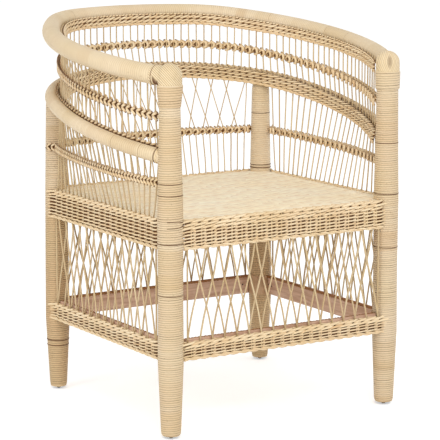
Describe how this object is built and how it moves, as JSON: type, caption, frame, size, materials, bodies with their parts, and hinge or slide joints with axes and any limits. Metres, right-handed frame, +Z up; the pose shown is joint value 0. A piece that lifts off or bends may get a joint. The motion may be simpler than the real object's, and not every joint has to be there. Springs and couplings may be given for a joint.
{
  "type": "armchair",
  "caption": "Barrel armchair of rattan poles wound in peel, with a bent top rim, a lower arm rail, a woven seat and open sides of crossing canes.",
  "frame": {"origin": "on the floor under the middle of the chair's outline", "axes": "+X to the right seen from the front, +Y towards the back, +Z up"},
  "size_m": [0.7264, 0.6981, 0.8529],
  "materials": {
    "pole": "bare rattan pole",
    "wound_peel": "pale rattan peel wound close, satin",
    "cane": "split cane, satin",
    "woven_band": "woven cane, matt",
    "seat_weave": "fine woven cane, matt",
    "lath": "brown wood, matt",
    "glide": "small pressed glide"
  },
  "bodies": {
    "root": {"arm_braid": "woven_band", "arm_rail": "wound_peel", "foot_glide_front_left": "glide", "foot_glide_front_right": "glide", "foot_glide_rear_left": "glide", "foot_glide_rear_right": "glide", "lower_braid": "woven_band", "lower_canes_front": "cane", "lower_canes_left": "cane", "lower_canes_rear": "cane", "lower_canes_right": "cane", "lower_row_back": "woven_band", "lower_row_left": "woven_band", "lower_row_right": "woven_band", "mid_canes_back": "cane", "mid_canes_left": "cane", "mid_canes_right": "cane", "post_collar_left": "wound_peel", "post_collar_right": "wound_peel", "post_core_front_left": "pole", "post_core_front_right": "pole", "post_core_rear_left": "pole", "post_core_rear_right": "pole", "post_wrap_front_left": "wound_peel", "post_wrap_front_right": "wound_peel", "post_wrap_rear_left": "wound_peel", "post_wrap_rear_right": "wound_peel", "rim_braid": "woven_band", "rim_cap_left": "wound_peel", "rim_cap_right": "wound_peel", "seat_band_front": "woven_band", "seat_band_left": "woven_band", "seat_band_rear": "woven_band", "seat_band_right": "woven_band", "seat_panel": "seat_weave", "seat_rail_front": "pole", "seat_rail_left": "pole", "seat_rail_rear": "pole", "seat_rail_right": "pole", "seat_slat_1": "pole", "seat_slat_2": "pole", "seat_slat_3": "pole", "stretcher_band_front": "woven_band", "stretcher_band_left": "woven_band", "stretcher_band_rear": "woven_band", "stretcher_band_right": "woven_band", "stretcher_lath_front": "lath", "stretcher_lath_left": "lath", "stretcher_lath_rear": "lath", "stretcher_lath_right": "lath", "stretcher_straps": "lath", "top_rail": "wound_peel", "upper_canes_back": "cane", "upper_canes_left": "cane", "upper_canes_right": "cane", "upper_row_inner": "woven_band", "upper_row_outer": "woven_band"}
  },
  "joints": []
}
